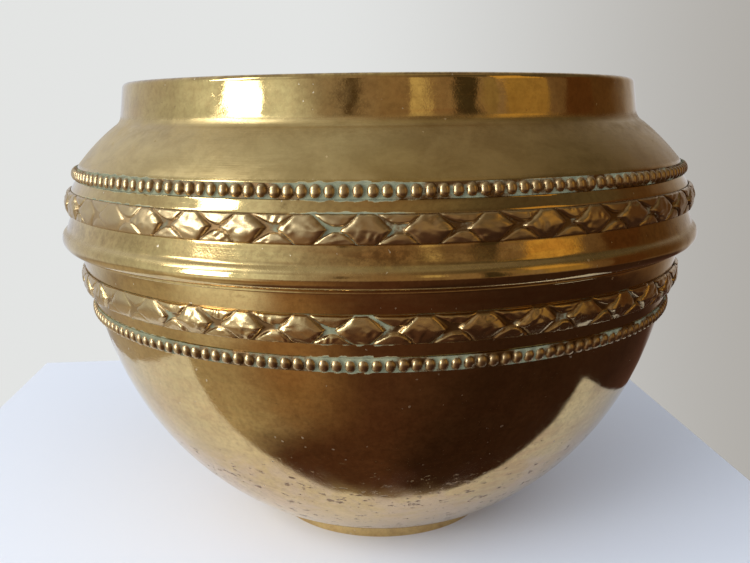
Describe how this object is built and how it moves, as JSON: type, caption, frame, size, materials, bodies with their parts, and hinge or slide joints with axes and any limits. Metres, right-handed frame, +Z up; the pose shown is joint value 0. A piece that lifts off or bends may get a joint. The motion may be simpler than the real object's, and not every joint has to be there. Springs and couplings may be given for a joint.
{
  "type": "planter pot",
  "caption": "Round-bellied brass planter pot with an upright collar, two beaded and two laurel-leaf strips, a moulded girdle and a low foot ring.",
  "frame": {"origin": "centre of the foot ring's underside, on the pot's axis", "axes": "+Z up along the pot's axis; the pot is round, so X and Y are free"},
  "size_m": [0.2806, 0.2806, 0.198],
  "materials": {
    "spun_brass": "worn polish with a brown tarnish",
    "stamped_brass": "aged, with verdigris in the hollows",
    "foot_brass": "worn polish",
    "rim_wire": "dull wire inside the rolled rim",
    "solder": "dull soft solder"
  },
  "bodies": {
    "root": {"upper_shell": "spun_brass", "rim_wire": "rim_wire", "upper_bead_strip": "stamped_brass", "upper_leaf_strip": "stamped_brass", "lower_leaf_strip": "stamped_brass", "lower_bead_strip": "stamped_brass", "bowl_shell": "spun_brass", "foot_ring": "foot_brass", "girdle_solder": "solder", "foot_solder": "solder"}
  },
  "joints": []
}
